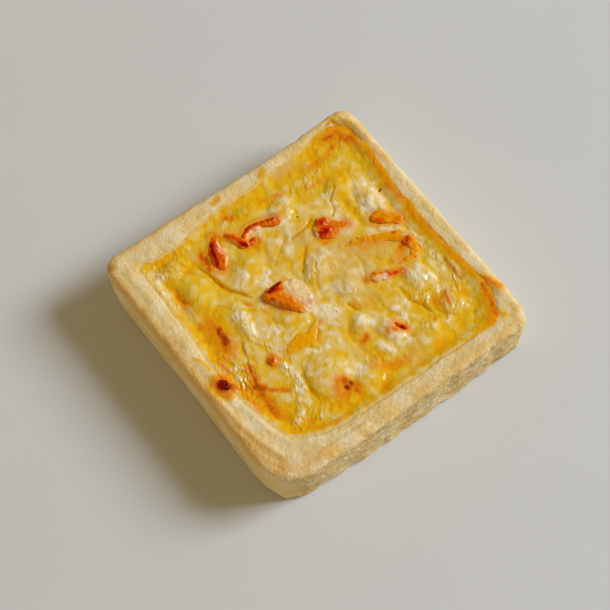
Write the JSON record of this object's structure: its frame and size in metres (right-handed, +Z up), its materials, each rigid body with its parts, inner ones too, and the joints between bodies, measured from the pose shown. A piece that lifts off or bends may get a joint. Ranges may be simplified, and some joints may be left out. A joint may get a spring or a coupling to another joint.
{
  "type": "mini ham and bacon quiche",
  "caption": "Small square savoury tart: a shortcrust case with a rounded rim holds a baked egg and cheese filling topped with pieces of ham and bacon.",
  "frame": {"origin": "middle of the flat base, under the middle of the case", "axes": "+Z up out of the filling; +X and +Y square to the case's sides, with the most rounded corner at -X -Y"},
  "size_m": [0.0961, 0.0957, 0.0243],
  "materials": {
    "shortcrust": "pale golden shortcrust, dry and crumbly, browner at the foot and corners",
    "baked_egg": "golden baked egg and cheese with cream lumps, lightly glossy",
    "ham": "pale pink cooked ham with browned edges, moist",
    "bacon": "dark red cooked bacon, moist",
    "browned_bacon": "orange-brown cooked bacon and ham, moist",
    "burnt_edge": "burnt dark red-brown meat"
  },
  "bodies": {
    "root": {"pastry_case": "shortcrust", "egg_filling": "baked_egg", "bacon_strip": "bacon", "bacon_fork": "bacon", "bacon_knob": "bacon", "bacon_bit_near": "bacon", "bacon_slab": "browned_bacon", "bacon_curl": "browned_bacon", "ham_flake": "browned_bacon", "bacon_bit_left": "browned_bacon", "ham_strip": "ham", "ham_chunk": "ham", "burnt_nub": "burnt_edge"}
  },
  "joints": []
}
